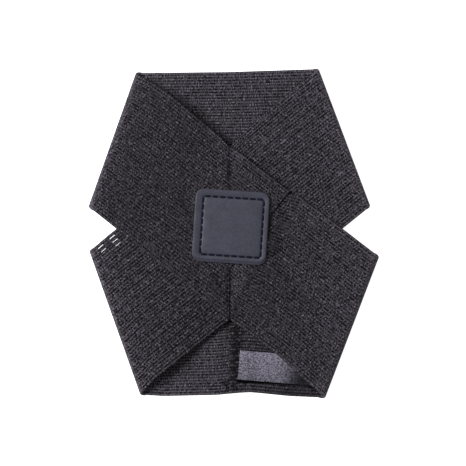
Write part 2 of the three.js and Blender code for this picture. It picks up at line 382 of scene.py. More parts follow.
class WrapStage(bpy.types.PropertyGroup):
    """The camera, the floor and the light."""

    view_width: length_property("View width", "Width of the view at the wrap", 236.3)
    distance: length_property("Distance", "Height of the camera above the wrap", 1600)
    sky: FloatProperty(name="Sky", description="Strength of the light all round", default=0.35)
    key: FloatProperty(name="Key", description="Power of the key light", default=24.0, unit="POWER")
    glow: FloatProperty(name="Glow", description="Light that the floor adds of its own", default=0.88)


class WrapSettings(bpy.types.PropertyGroup):
    """All settings of the ankle wrap."""

    band: PointerProperty(type=WrapBand)
    badge: PointerProperty(type=WrapBadge)
    label: PointerProperty(type=WrapLabel)
    seams: PointerProperty(type=WrapSeams)
    stage: PointerProperty(type=WrapStage)


# Heights of the layers


def ease(value, low, high):
    """Smooth step from 0 at low to 1 at high."""
    share = np.clip((value - low) / (high - low), 0, 1)
    return share * share * (3 - 2 * share)


def front_mid(layer):
    """Height of the middle of the cloth where a front layer leaves its fold."""
    return FRONT_MID + layer * LAYER


def fold_frame(fold):
    """A fold's own axes, its bend radius and its inset."""
    along = (fold.b - fold.a) / np.linalg.norm(fold.b - fold.a)
    inward = np.array((-along[1], along[0]))
    if inward @ fold.a > 0:
        inward = -inward
    radius = (front_mid(fold.layer) - BACK_MID) / 2
    return FoldFrame(fold.a, fold.b, along, inward, radius, radius + CLOTH / 2)


def rise(plan):
    """How high the front layers have risen, from nothing at the folds to RISE at the crossing."""
    total = 0
    for fold in FOLDS:
        axes = fold_frame(fold)
        depth = (plan - axes.start) @ axes.inward - axes.inset
        total = total + np.exp(-depth / RISE_SOFTNESS)
    share = np.clip(-RISE_SOFTNESS * np.log(total) / RAMP, 0, 1)
    height = RISE * (1 - (1 - share) ** 2)
    for swell in SWELLS:
        away = np.linalg.norm(plan - swell.at, axis=-1)
        height = height + swell.height * np.exp(-((away / swell.reach) ** 2))
    return height


def past_end(plan):
    """How far each place is past the over strap's cut end, below 0 where the over strap covers it."""
    cut = (OVER_END.corner - OVER_END.a) / np.linalg.norm(OVER_END.corner - OVER_END.a)
    outward = np.array((-cut[1], cut[0]))
    return np.minimum((plan - OVER_END.a) @ outward, plan[..., 0] - SEAM_X * MM)


def under_badge(plan):
    """1 under the badge, falling to 0 a little way outside it."""
    half = bpy.context.scene.ankle_wrap.badge.width / 2
    away = np.abs(plan - badge_centre()[0]).max(-1) - half
    return 1 - ease(away, 0, BADGE_PULL_REACH)


def even(plan):
    """The plain cloth thickness at every place."""
    return np.full(plan.shape[:-1], CLOTH)


def under_layer(plan):
    """The under strap: the middle of its cloth, and its thickness."""
    return front_mid(0) + rise(plan), even(plan)


def over_layer(plan):
    """The over strap, which steps up onto the foot strap's hidden end and is pressed thin at its cut end."""
    thickness = PRESSED + (CLOTH - PRESSED) * ease(-past_end(plan), *END_PRESS)
    middle = front_mid(1) + rise(plan) + LAYER * ease(plan[..., 0], *STEP_UP)
    return middle - (CLOTH - thickness) / 2, thickness


def foot_layer(plan):
    """The foot strap's arm, which the badge's stitches pull up."""
    pulled_up = under_badge(plan) * ease(past_end(plan), *BADGE_PULL_RAMP)
    return front_mid(1) + rise(plan) + BADGE_PULL * pulled_up, even(plan)


def back_layer(plan):
    """The upper back band, flat on the floor."""
    return np.full(plan.shape[:-1], BACK_MID), even(plan)


def ankle_lap_layer(plan):
    """The lower back of the ankle strap, pressed thin where it laps."""
    thickness = CLOTH + (PRESSED - CLOTH) * ease(plan[..., 0], *LAP_PRESS)
    return thickness / 2, thickness


def foot_lap_layer(plan):
    """The lower back of the foot strap, lifted over the end of the ankle strap."""
    lift = 1 - ease(plan[..., 0], *LAP_LIFT)
    thickness = CLOTH + (PRESSED - CLOTH) * lift
    return lift * (PRESSED + CLEAR) + thickness / 2, thickness


# Stretches of the band


def across(cut):
    """The places across a cut, from edge a to edge b, by way of its corner if it has one."""
    share = SHARES[:, None]
    if cut.corner is None:
        return cut.a + (cut.b - cut.a) * share
    first = np.clip(share / CORNER_SHARE, 0, 1)
    second = np.clip((share - CORNER_SHARE) / (1 - CORNER_SHARE), 0, 1)
    return cut.a + (cut.corner - cut.a) * first + (cut.b - cut.corner) * second


def furrow_depth(plan, furrows):
    """How deep the furrows are at each place in plan."""
    depth = np.zeros(plan.shape[:-1])
    for furrow in furrows:
        way = furrow.end - furrow.start
        share = np.clip((plan - furrow.start) @ way / (way @ way), 0, 1)
        away = np.linalg.norm(plan - furrow.start - share[..., None] * way, axis=-1)
        fade = np.sin(np.pi * np.clip(share, *FURROW_ENDS)) ** 0.5
        if furrow.pucker:
            turns = share * np.linalg.norm(way) / furrow.pucker
            fade = fade * (1 - PUCKER_SHARE + PUCKER_SHARE * np.cos(2 * math.pi * turns))
        depth = np.maximum(depth, furrow.depth * fade * np.exp(-((away / furrow.half_width) ** 2)))
    return depth


def pulled(plan, share, pull):
    """The places of a panel once the front seam has drawn its upper edge down, and its bow has lifted it."""
    beside = np.abs(plan[..., 0] - SEAM_X * MM)
    from_edge = SHARES * bpy.context.scene.ankle_wrap.band.width
    drawn = pull.depth * np.exp(-beside / pull.reach - from_edge / PULL_FADE)
    bowed = pull.bow * np.sin(math.pi * share[..., 0] ** BOW_SKEW) * np.exp(-from_edge / BOW_FADE)
    return plan + (bowed - drawn)[..., None] * np.array((0, 1))


def painted_fold_light(plan):
    """Painted light: how much lighter the cloth is painted beside its folds, as a share of its tone."""
    light = 1
    for fold in FOLDS:
        axes = fold_frame(fold)
        depth = np.maximum((plan - axes.start) @ axes.inward, 0)
        light = light + fold.glow * np.exp(-depth / FOLD_PAINTED_LIGHT_REACH)
    return light


def blended(first, last, share, shape):
    """The tone and painted light at every place of a grid of that shape, from a first value to a last one."""
    first, last = np.array(first), np.array(last)
    return np.broadcast_to(first + (last - first) * share, (*shape, len(first))).copy()


def panel(start, end, layer, step, tones_and_painted_light, furrows=(), pull=None, gain=None):
    """A flat stretch of the band between two rows of places, lying on a layer, from one tone to another, with
    painted light and shade.
    """
    steps = max(1, round(np.linalg.norm(end - start, axis=1).max() / step))
    share = np.linspace(0, 1, steps + 1)[:, None, None]
    plan = start + (end - start) * share
    if pull:
        plan = pulled(plan, share, pull)
    mid, thickness = layer(plan)
    dents = furrow_depth(plan, furrows)
    finish = blended(tones_and_painted_light[0], tones_and_painted_light[-1], share, mid.shape)
    # Painted light beside the folds, and painted shade in the furrows by their depth.
    finish[..., 0] *= painted_fold_light(plan) * (1 - FURROW_PAINTED_SHADE * dents / SEAM_FURROW)
    # Painted shade, darker from one x to another.
    if gain:
        finish[..., 0] *= gain.darkest + (1 - gain.darkest) * ease(plan[..., 0], gain.dark_x, gain.light_x)
    return Stretch(np.dstack((plan, mid)), thickness, dents, finish)


def bend(fold, back_aim, front_aim, back, front):
    """The band around a fold, from its back to its front. Its edges head for the cuts before and after."""
    axes = fold_frame(fold)
    angle = np.linspace(-0.5, 0.5, FOLD_STEPS + 1) * math.pi
    sine, cosine = np.sin(angle)[:, None], np.cos(angle)[:, None]

    def drift(corner, aim):
        way = aim - corner
        return (way @ axes.along) / (way @ axes.inward)

    def slope(aim):
        return drift(axes.start, aim.a) * (1 - SHARES) + drift(axes.end, aim.b) * SHARES

    slide = np.where(sine < 0, slope(back_aim), slope(front_aim)) * axes.inset * np.abs(sine)
    edge = axes.start + (axes.end - axes.start) * SHARES[:, None]
    inset = (axes.inset - axes.radius * cosine)[..., None] * axes.inward
    plan = edge + inset + slide[..., None] * axes.along
    height = np.broadcast_to(BACK_MID + axes.radius * (1 + sine), slide.shape)
    even_cloth, no_dents = np.full(slide.shape, CLOTH), np.zeros(slide.shape)
    finish = blended(back, front, (sine[..., None] + 1) / 2, slide.shape)
    # Painted light beside the fold.
    finish[..., 0] *= painted_fold_light(plan)
    finish[..., 3] = FOLD_SMOOTHNESS * (1 - sine**8)
    return Stretch(np.dstack((plan, height)), even_cloth, no_dents, finish)


def turned(stretch):
    """A stretch from its last station to its first."""
    return Stretch(*(values[::-1] for values in stretch))


def joined(*stretches):
    """Stretches end to end, leaving out each one's first station after the first stretch."""
    kept = [stretches[0]] + [Stretch(*(values[1:] for values in s)) for s in stretches[1:]]
    return Stretch(*(np.concatenate(values) for values in zip(*kept)))


def panels(rows, *settings, **options):
    """Flat stretches end to end, each from one row of places to the next, with the same settings."""
    return joined(*(panel(start, end, *settings, **options) for start, end in zip(rows, rows[1:])))


def first_row(stretch):
    """The places in plan of a stretch's first station."""
    return stretch.places[0, :, :2]


def last_row(stretch):
    """The places in plan of a stretch's last station."""
    return stretch.places[-1, :, :2]


def band_lengths(places):
    """How far along the flat band each place is, measured along its own row."""
    heading = places[1] - places[0]
    heading = heading.mean(0) / np.linalg.norm(heading.mean(0))
    start = (places[0] - places[0, 0]) @ heading
    steps = np.linalg.norm(np.diff(places, axis=0), axis=-1)
    return np.concatenate((start[None], start + np.cumsum(steps, axis=0)))


def normals_of(places):
    """Unit normals of a grid of places."""
    lengthwise = np.pad(places, ((1, 1), (0, 0), (0, 0)), mode="edge")
    crosswise = np.pad(places, ((0, 0), (1, 1), (0, 0)), mode="edge")
    normal = np.cross(lengthwise[2:] - lengthwise[:-2], crosswise[:, 2:] - crosswise[:, :-2])
    return normal / np.linalg.norm(normal, axis=-1, keepdims=True)


def open_slots(places, lengths, span, band):
    """Moves the places beside each slot onto its ends, and returns which cells of the grid are cut out."""
    cut = np.zeros((places.shape[0] - 1, places.shape[1] - 1), bool)
    first, last = span
    inside = places[first:last]
    nearest = np.unravel_index(
        np.argmin(np.linalg.norm(inside[..., :2] - SLOT_AT, axis=-1)), inside.shape[:2]
    )
    phase = lengths[first + nearest[0], nearest[1]] - band.slot_length / 2
    for column in range(SLOT_FIRST_COLUMN, len(SHARES) - SLOT_FIRST_COLUMN, SLOT_COLUMNS):
        middle = lengths[first:last, column].copy()
        low = math.ceil((middle[1] - phase) / band.slot_pitch)
        high = math.floor((middle[-1] - phase - band.slot_length) / band.slot_pitch)
        for number in range(low, high + 1):
            starts_at = phase + number * band.slot_pitch
            ends = (starts_at, starts_at + band.slot_length)
            rows = [first + int(np.argmin(np.abs(middle - end))) for end in ends]
            number_across = (column - SLOT_FIRST_COLUMN) / SLOT_COLUMNS
            shut = number < 0 or number_across > SLOT_SHUT_AFTER - number
            if shut and places[rows[0], column, 1] > SLOT_SHUT_ABOVE:
                continue
            for side in (column - 1, column, column + 1):
                run = lengths[first:last, side].copy()
                track = places[first:last, side].copy()
                for row, end in zip(rows, ends):
                    places[row, side] = [np.interp(end, run, track[:, axis]) for axis in range(3)]
                    lengths[row, side] = end
            width = band.slot_width * (1 - SLOT_CLOSING * ease(number_across, *SLOT_CLOSING_RANGE))
            share = width / (2 * band.width * SHARES[1])
            for row in range(rows[0], rows[1] + 1):
                for side in (column - 1, column + 1):
                    places[row, side] = places[row, column] * (1 - share) + places[row, side] * share
            cut[rows[0] : rows[1], column - 1 : column + 1] = True
    return cut


def sheet_faces(cut):
    """Quads of a closed sheet on a grid of cells: its upper and under faces, and a wall round each cut."""
    rows, columns = cut.shape[0] + 1, cut.shape[1] + 1
    upper = np.arange(rows * columns).reshape(rows, columns)
    under = upper + rows * columns
    i, j = np.nonzero(~cut)
    quads = [
        (upper[i, j], upper[i + 1, j], upper[i + 1, j + 1], upper[i, j + 1]),
        (under[i, j], under[i, j + 1], under[i + 1, j + 1], under[i + 1, j]),
    ]
    edge = np.pad(cut, 1, constant_values=True)
    walls = (
        ((0, -1), (0, 0), (1, 0)),
        ((0, 1), (1, 1), (0, 1)),
        ((-1, 0), (0, 1), (0, 0)),
        ((1, 0), (1, 0), (1, 1)),
    )
    for (step_i, step_j), one, two in walls:
        open_side = edge[i + 1 + step_i, j + 1 + step_j]
        k, m = i[open_side], j[open_side]
        one, two = (k + one[0], m + one[1]), (k + two[0], m + two[1])
        quads.append((upper[one], under[one], under[two], upper[two]))
    return np.concatenate([np.stack(quad, axis=1) for quad in quads])


def edge_rounding(from_edge):
    """Share of the cloth's thickness near a selvage, so that its edge is round."""
    share = np.clip(from_edge / EDGE_REACH, 0, 1)
    return EDGE_THINNEST + (1 - EDGE_THINNEST) * np.sqrt(1 - (1 - share) ** 2)


def weave(name, stretch, band, slot_span=None):
    """A closed sheet of ribbed cloth through a stretch, with the attributes that its material reads.

    'band' holds the millimetres along and across the band and how smooth it is, and 'finish' the rest.
    """
    places = stretch.places.copy()
    lengths = band_lengths(places)
    cut = np.zeros((places.shape[0] - 1, places.shape[1] - 1), bool)
    if slot_span:
        cut = open_slots(places, lengths, slot_span, band)
    widths = np.broadcast_to(SHARES * band.width, lengths.shape)
    from_edge = np.minimum(widths, band.width - widths)
    ribs = 0.5 + 0.5 * np.cos(2 * math.pi * RIBS * SHARES)
    inside = ease(from_edge, band.selvage / 2, band.selvage)
    relief = band.rib_depth * ribs**2 * (SELVAGE_RIBS + (1 - SELVAGE_RIBS) * inside)
    relief = relief * (1 - stretch.finish[..., 3])
    finish = stretch.finish.copy()
    # Painted light along the selvages, where the rolled edge catches the light.
    finish[..., 0] *= 1 + EDGE_PAINTED_LIGHT * np.exp(-from_edge / EDGE_PAINTED_LIGHT_REACH)
    half = stretch.thickness / 2 * edge_rounding(from_edge)
    normal = normals_of(places)
    band_places = np.stack((lengths / MM, widths / MM, finish[..., 3]), axis=-1)
    outside = np.array(OUTSIDE)
    points, tones_and_painted_light = [], []
    for side in (1, -1):
        facing = normal[..., 2] * side
        dents = np.where(facing > 0, stretch.dents, 0)
        points.append(places + side * normal * (half - relief - dents)[..., None])
        upward = ease(facing, *FACING_RANGE)[..., None]
        tones_and_painted_light.append((finish * upward + outside * (1 - upward))[..., :3])
    attributes = {"band": (band_places, band_places), "finish": tones_and_painted_light}
    return sheet_piece(name, points, sheet_faces(cut), attributes)


# Meshes


def new_piece(name, points, faces, attributes):
    """A smooth mesh object at the origin, with values on its points."""
    mesh = bpy.data.meshes.new(name)
    mesh.from_pydata(points.tolist(), [], faces)
    for title, values in attributes.items():
        attribute = mesh.attributes.new(title, "FLOAT_VECTOR", "POINT")
        attribute.data.foreach_set("vector", values.astype(np.float32).ravel())
    mesh.update()
    piece = bpy.data.objects.new(name, mesh)
    bpy.context.scene.collection.objects.link(piece)
    smooth(piece, SMOOTH_ANGLE)
    return piece


def sheet_piece(name, points, faces, attributes):
    """A closed sheet, from grids for its upper and its under face. Points that no face uses are left out."""
    used, flat = np.unique(faces, return_inverse=True)

    def kept(grids):
        return np.concatenate(grids).reshape(-1, 3)[used]

    values = {title: kept(grids) for title, grids in attributes.items()}
    return new_piece(name, kept(points), flat.reshape(faces.shape).tolist(), values)


def only(piece):
    """Makes a piece the one selected, active object."""
    bpy.ops.object.select_all(action="DESELECT")
    piece.select_set(True)
    bpy.context.view_layer.objects.active = piece


def smooth(piece, angle):
    """Smooth shading, with edges sharper than the angle left sharp."""
    only(piece)
    bpy.ops.object.shade_smooth_by_angle(angle=angle)


def finish_piece(piece, material, *nodes, slot=None):
    """Gives a piece its material and body, and hides the solids that it stands for. The slot is not used."""
    piece.data.materials.clear()
    piece.data.materials.append(material)
    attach(piece, BODY)
    if nodes:
        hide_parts(*nodes)


def thread_template(length, thickness, lift):
    """Points and faces of one stitch along X: a low round strand whose ends dip into the cloth."""
    bpy.ops.object.select_all(action="DESELECT")
    bpy.ops.mesh.primitive_uv_sphere_add(segments=THREAD_SEGMENTS, ring_count=THREAD_RINGS, radius=0.5)
    ball = bpy.context.object
    points = np.array([v.co for v in ball.data.vertices])
    faces = [tuple(p.vertices) for p in ball.data.polygons]
    bpy.data.objects.remove(ball)
    share = points[:, 2] * 2
    body = np.stack((share * length / 2, points[:, 1] * thickness, points[:, 0] * thickness), axis=1)
    full = (1 - share**4) ** 0.5
    ring = np.hypot(points[:, 0], points[:, 1])
    tiny = 1e-6
    scale = np.where(ring > tiny, full / np.maximum(ring * 2, tiny), 0)
    body[:, 1:] *= scale[:, None]
    body[:, 2] += lift * (1 - share**2)
    return body, faces


def copies(name, template, frames):
    """One mesh of copies of a template, each placed by an origin and its X, Y and Z axes."""
    points, faces = template
    placed, all_faces = [], []
    for number, (origin, axes) in enumerate(frames):
        placed.append(origin + points @ np.array(axes))
        all_faces += [tuple(v + number * len(points) for v in face) for face in faces]
    return new_piece(name, np.concatenate(placed), all_faces, {})


def stitch_axes(way, up=(0, 0, 1)):
    """The axes of a stitch that lies along a way."""
    x = np.array(way, float)
    x /= np.linalg.norm(x)
    y = np.cross(up, x)
    y /= np.linalg.norm(y)
    return x, y, np.cross(x, y)


# Materials


class Shader:
    """A material's node tree, with short calls that add and join its nodes."""

    def __init__(self, name):
        self.material = bpy.data.materials.new(name)
        self.material.use_nodes = True
        self.tree = self.material.node_tree
        self.surface = self.tree.nodes["Principled BSDF"]

    def node(self, kind, *inputs, **settings):
        """Adds a node, sets what it is given by name, and fills its inputs in order."""
        made = self.tree.nodes.new("ShaderNode" + kind)
        for name, value in settings.items():
            setattr(made, name, value)
        for socket, value in zip(made.inputs, inputs):
            self.fill(socket, value)
        return made

    def fill(self, socket, value):
        """Links a socket to another, or sets its value."""
        if isinstance(value, bpy.types.NodeSocket):
            self.tree.links.new(value, socket)
        else:
            socket.default_value = value

    def math(self, operation, *inputs):
        """The result of a Math node."""
        return self.node("Math", *inputs, operation=operation).outputs[0]

    def plus(self, value, *others):
        """The sum of values."""
        for other in others:
            value = self.math("ADD", value, other)
        return value

    def times(self, value, *others):
        """The product of values."""
        for other in others:
            value = self.math("MULTIPLY", value, other)
        return value

    def left(self, value, share):
        """What is left of 1 once a share of a value is taken away."""
        return self.math("SUBTRACT", 1.0, self.times(value, share))

    def mix(self, factor, a, b):
        """A colour between two colours."""
        made = self.node("Mix", data_type="RGBA")
        self.fill(made.inputs["Factor"], factor)
        self.fill(made.inputs["A"], a)
        self.fill(made.inputs["B"], b)
        return made.outputs["Result"]

    def ramp(self, value, low, high, bottom=0.0, top=1.0):
        """A value moved smoothly from one range to another."""
        made = self.node("MapRange", value, low, high, bottom, top, interpolation_type="SMOOTHSTEP")
        return made.outputs[0]

    def noise(self, vector, scale, detail=2.0):
        """Smooth noise from 0 to 1."""
        made = self.node("TexNoise", noise_dimensions="3D")
        self.fill(made.inputs["Vector"], vector)
        made.inputs["Scale"].default_value = scale
        made.inputs["Detail"].default_value = detail
        return made.outputs["Fac"]

    def speckle(self, x, y):
        """Three random values for each whole x and y."""
        where = self.node("CombineXYZ", x, y, 0.0).outputs[0]
        made = self.node("TexWhiteNoise", where, noise_dimensions="3D")
        return self.node("SeparateColor", made.outputs["Color"]).outputs

    def set(self, **values):
        """Sets or links the surface's own sockets, by name with spaces as underscores."""
        for name, value in values.items():
            self.fill(self.surface.inputs[name.replace("_", " ")], value)

    def bump(self, height, distance):
        """Links a bump of that height to the surface."""
        made = self.node("Bump")
        made.inputs["Strength"].default_value = 1.0
        made.inputs["Distance"].default_value = distance
        self.fill(made.inputs["Height"], height)
        self.fill(self.surface.inputs["Normal"], made.outputs["Normal"])


# The knit, in millimetres along the band: its dark dashes between ribs, its loops, its courses, the streaks
# of its yarns, and how slowly its rows of dashes wander. Then its yarns in a rib and its ribs in a stripe.
GAP_PITCH = 2.0
LOOP_PITCH = 1.2
COURSE_PITCH = 0.79
YARN_PITCH = 0.3
WANDER_PITCH = 5.0
YARNS_IN_RIB = 3.0
RIBS_IN_STRIPE = 3.0

# What keeps the random values of dashes, loops and yarns apart, and how far dashes shift and wander.
GAP_SEED = 0.4
LOOP_SEED = 31.7
YARN_SEED = 11.3
LINE_SPREAD = 7.31
DASH_SHIFT = 9.0
DASH_WANDER = 5.0

# How black the valleys are, as painted shade in the recesses and open gaps of the knit, and what bold, lined
# and smooth cloth changes in that.
VALLEY_RANGE = (0.3, 0.72)
GAP_ENDS = (-0.5, 0.4)
GAP_BLACKNESS = (0.35, 1.55)
BOLD_BLACKNESS = 0.3
LINED_CALM = 0.65
BOLD_STEADY = 0.05
STRIPE_STEADY = 0.25
LINED_STEADY = 0.4
LEAST_STEADY = 0.06
BLACKEST = 0.97
SMOOTH_CALM = 0.85

# How light the ribs are: their rare flecks, loops, yarns, courses, broad patches and stripes.
FLECK_CREST = (0.45, 0.8)
FLECK_ENDS = (0.0, 0.6)
FLECK_CHANCE = (0.72, 0.95)
FLECK_LIGHT = 0.8
LOOP_CONTRAST = 0.9
YARN_CONTRAST = 0.65
YARN_LIVELY = 1.25
LINED_LIVELY = 0.5
COURSE_LEAST = 0.75
COURSE_DRIFT = 6.0
COURSE_DRIFT_SCALE = 0.15
PATCH_SCALE = 0.12
PATCH_RANGE = (0.25, 0.75)
PATCH_TONE = (0.29, 0.33)
STRIPE_TONE = 0.22
TINT_SCALE = 0.07
TINT_RANGE = (0.4, 0.65)
KNIT_ROUGHNESS = 0.95
KNIT_SHINE = 0.06
LOOP_RELIEF = 0.4
YARN_RELIEF = 0.3
KNIT_RELIEF = 0.15 * MM

# Where nearly all values of a noise lie.
NOISE_RANGE = (0.3, 0.7)


def elastic_material(band):
    """Ribbed knit: light loops along each rib, dark dashes between ribs painted as shade, faint stripes and
    uneven tone.
    """
    s = Shader("ribbed_elastic")
    coordinates = s.node("Attribute", attribute_name="band").outputs["Vector"]
    finish = s.node("Attribute", attribute_name="finish").outputs["Vector"]
    length, width, smoothed = s.node("SeparateXYZ", coordinates).outputs
    shade, bold, lined = s.node("SeparateXYZ", finish).outputs
    rib = s.math("DIVIDE", width, band.width / MM / RIBS)
    crest = s.times(s.math("PINGPONG", rib, 0.5), 2.0)

    def streak(number, pitch, seed):
        """Smooth noise along each line of that number, from 0 to 1, with features about a pitch long."""
        spread = s.times(number, LINE_SPREAD)
        track = s.node("CombineXYZ", s.math("DIVIDE", length, pitch), spread, seed)
        return s.noise(track.outputs[0], 1.0, detail=0.0)

    def dashes(number, pitch, seed):
        """A wave from -1 to 1 along each line, which wanders, and three random values for each dash."""
        shift = s.times(s.speckle(number, seed)[0], DASH_SHIFT)
        wander = s.times(streak(number, WANDER_PITCH, seed), DASH_WANDER)
        cell = s.plus(s.math("DIVIDE", length, pitch), s.plus(shift, wander))
        wave = s.math("SUBTRACT", s.times(s.math("PINGPONG", cell, 0.5), 4.0), 1.0)
        return wave, s.speckle(s.math("FLOOR", cell), s.plus(number, seed))

    valley_number = s.math("FLOOR", s.plus(rib, 0.5))
    gap_wave, gap = dashes(valley_number, GAP_PITCH, GAP_SEED)
    blackness = s.plus(s.ramp(gap[0], 0.0, 1.0, *GAP_BLACKNESS), s.times(bold, BOLD_BLACKNESS))
    black = s.times(s.ramp(gap_wave, *GAP_ENDS), blackness, s.left(lined, LINED_CALM))
    striped = s.math("LESS_THAN", s.math("FLOORED_MODULO", valley_number, RIBS_IN_STRIPE), 0.5)
    steady = s.times(bold, s.plus(BOLD_STEADY, s.times(striped, STRIPE_STEADY)))
    strength = s.plus(steady, s.times(lined, LINED_STEADY), LEAST_STEADY, black)
    valley = s.ramp(crest, *VALLEY_RANGE, 1.0, 0.0)
    dark = s.times(valley, s.math("MINIMUM", strength, BLACKEST), s.left(smoothed, SMOOTH_CALM))

    wave, dash = dashes(s.math("FLOOR", rib), LOOP_PITCH, LOOP_SEED)
    fleck = s.times(s.ramp(wave, *FLECK_ENDS), s.ramp(dash[1], *FLECK_CHANCE), s.ramp(crest, *FLECK_CREST))
    loops = s.plus(1.0, s.times(wave, s.ramp(dash[0], 0.0, 1.0, 0.0, LOOP_CONTRAST)))
    yarn_number = s.math("FLOOR", s.times(rib, YARNS_IN_RIB))
    yarn = streak(yarn_number, YARN_PITCH, YARN_SEED)
    uneven = s.ramp(yarn, *NOISE_RANGE, -YARN_CONTRAST, YARN_CONTRAST)
    lively = s.math("SUBTRACT", YARN_LIVELY, s.times(lined, LINED_LIVELY))
    drift = s.times(s.noise(coordinates, COURSE_DRIFT_SCALE, detail=1.0), COURSE_DRIFT)
    course = s.math("PINGPONG", s.plus(s.math("DIVIDE", length, COURSE_PITCH), drift), 0.5)
    strands = s.times(s.plus(1.0, s.times(uneven, lively)), s.plus(COURSE_LEAST, course))
    patches = s.ramp(s.noise(coordinates, PATCH_SCALE, detail=3.0), *PATCH_RANGE, *PATCH_TONE)
    tone = s.plus(s.times(strands, loops, patches), s.times(fleck, FLECK_LIGHT))
    stripe = s.math("COSINE", s.times(rib, 2 * math.pi / RIBS_IN_STRIPE))
    tone = s.times(tone, s.math("SUBTRACT", 1.0, dark), shade, s.left(stripe, s.times(bold, STRIPE_TONE)))
    warmth = s.ramp(s.noise(coordinates, TINT_SCALE), *TINT_RANGE)
    tint = s.mix(warmth, tuple(band.light), tuple(band.warm_light))
    s.set(Base_Color=s.mix(tone, tuple(band.shadow), tint), Roughness=KNIT_ROUGHNESS)
    s.set(Specular_IOR_Level=KNIT_SHINE)
    height = s.plus(s.times(loops, LOOP_RELIEF), s.times(strands, YARN_RELIEF))
    s.bump(s.math("SUBTRACT", height, dark), KNIT_RELIEF)
    return s.material


def toned(colour, share):
    """An opaque colour, made darker or lighter by a share."""
    return tuple(share * c for c in colour[:3]) + (1,)


# The rubber: the fineness of its grain and of its rubbed patches, their shares, tones, roughness and relief.
GRAIN_SCALE = 1500.0
RUBBED_SCALE = 140.0
GRAIN_SHARE = 0.6
RUBBED_SHARE = 0.4
RUBBER_RANGE = (0.35, 0.65)
RUBBER_TONES = (0.7, 1.25)
RUBBER_ROUGHNESS = (0.62, 0.5)
RUBBER_SHINE = 0.4
RUBBER_RELIEF = 0.08 * MM


def rubber_material(badge):
    """Soft moulded rubber with a fine grain and faint rubbed patches."""
    s = Shader("badge_rubber")
    coordinates = s.node("TexCoord").outputs["Object"]
    grain = s.noise(coordinates, GRAIN_SCALE, detail=3.0)
    rubbed = s.noise(coordinates, RUBBED_SCALE, detail=4.0)
    dull, light = (toned(badge.colour, share) for share in RUBBER_TONES)
    worn = s.plus(s.times(grain, GRAIN_SHARE), s.times(rubbed, RUBBED_SHARE))
    s.set(Base_Color=s.mix(s.ramp(worn, *RUBBER_RANGE), dull, light))
    s.set(Roughness=s.ramp(rubbed, *NOISE_RANGE, *RUBBER_ROUGHNESS), Specular_IOR_Level=RUBBER_SHINE)
    s.bump(grain, RUBBER_RELIEF)
    return s.material


# The thread: the fineness of its twist, how much lighter it gets, its roughness, shine and relief.
TWIST_SCALE = 3500.0
TWIST_RANGE = (0.35, 0.7)
TWIST_LIGHTER = 2.2
THREAD_ROUGHNESS = 0.8
THREAD_SHINE = 0.1
THREAD_RELIEF = 0.06 * MM


def thread_material(name, colour):
    """Twisted polyester thread."""
    s = Shader(name)
    twist = s.noise(s.node("TexCoord").outputs["Object"], TWIST_SCALE, detail=1.0)
    s.set(Base_Color=s.mix(s.ramp(twist, *TWIST_RANGE), tuple(colour), toned(colour, TWIST_LIGHTER)))
    s.set(Roughness=THREAD_ROUGHNESS, Specular_IOR_Level=THREAD_SHINE)
    s.bump(twist, THREAD_RELIEF)
    return s.material


# The satin, in millimetres: the width and the length of its floats. Then how far they shift, how light they
# are, the softer light between them, and its roughness, shine and relief.
PICK_WIDTH = 0.33
FLOAT_LENGTH = 0.52
PICK_SEED = 3.0
PICK_SHIFT = 5.0
FLOAT_LIGHT = 0.92
SOFT_SCALE = 0.9
SOFT_LIGHT = (0.02, 0.12)
SATIN_ROUGHNESS = 0.42
SATIN_SHINE = 0.3
SATIN_RELIEF = 0.05 * MM
BLACK = (0.0, 0.0, 0.0, 1)


def satin_material(label):
    """Woven satin tape: fine speckled floats along the tape, with painted shade on its under ply and a
    painted shadow towards its free end.
    """
    s = Shader("label_satin")
    coordinates = s.node("Attribute", attribute_name="band").outputs["Vector"]
    length, width, tone = s.node("SeparateXYZ", coordinates).outputs
    pick = s.math("FLOOR", s.math("DIVIDE", width, PICK_WIDTH))
    shift = s.times(s.speckle(pick, PICK_SEED)[0], PICK_SHIFT)
    float_number = s.math("FLOOR", s.plus(s.math("DIVIDE", length, FLOAT_LENGTH), shift))
    chance = s.speckle(float_number, pick)
    soft = s.ramp(s.noise(coordinates, SOFT_SCALE, detail=3.0), *NOISE_RANGE, *SOFT_LIGHT)
    light = s.times(s.plus(s.times(chance[0], FLOAT_LIGHT), soft), tone)
    s.set(Base_Color=s.mix(light, BLACK, tuple(label.colour)), Roughness=SATIN_ROUGHNESS)
    s.set(Specular_IOR_Level=s.times(tone, SATIN_SHINE))
    s.bump(chance[1], SATIN_RELIEF)
    return s.material


# Pieces


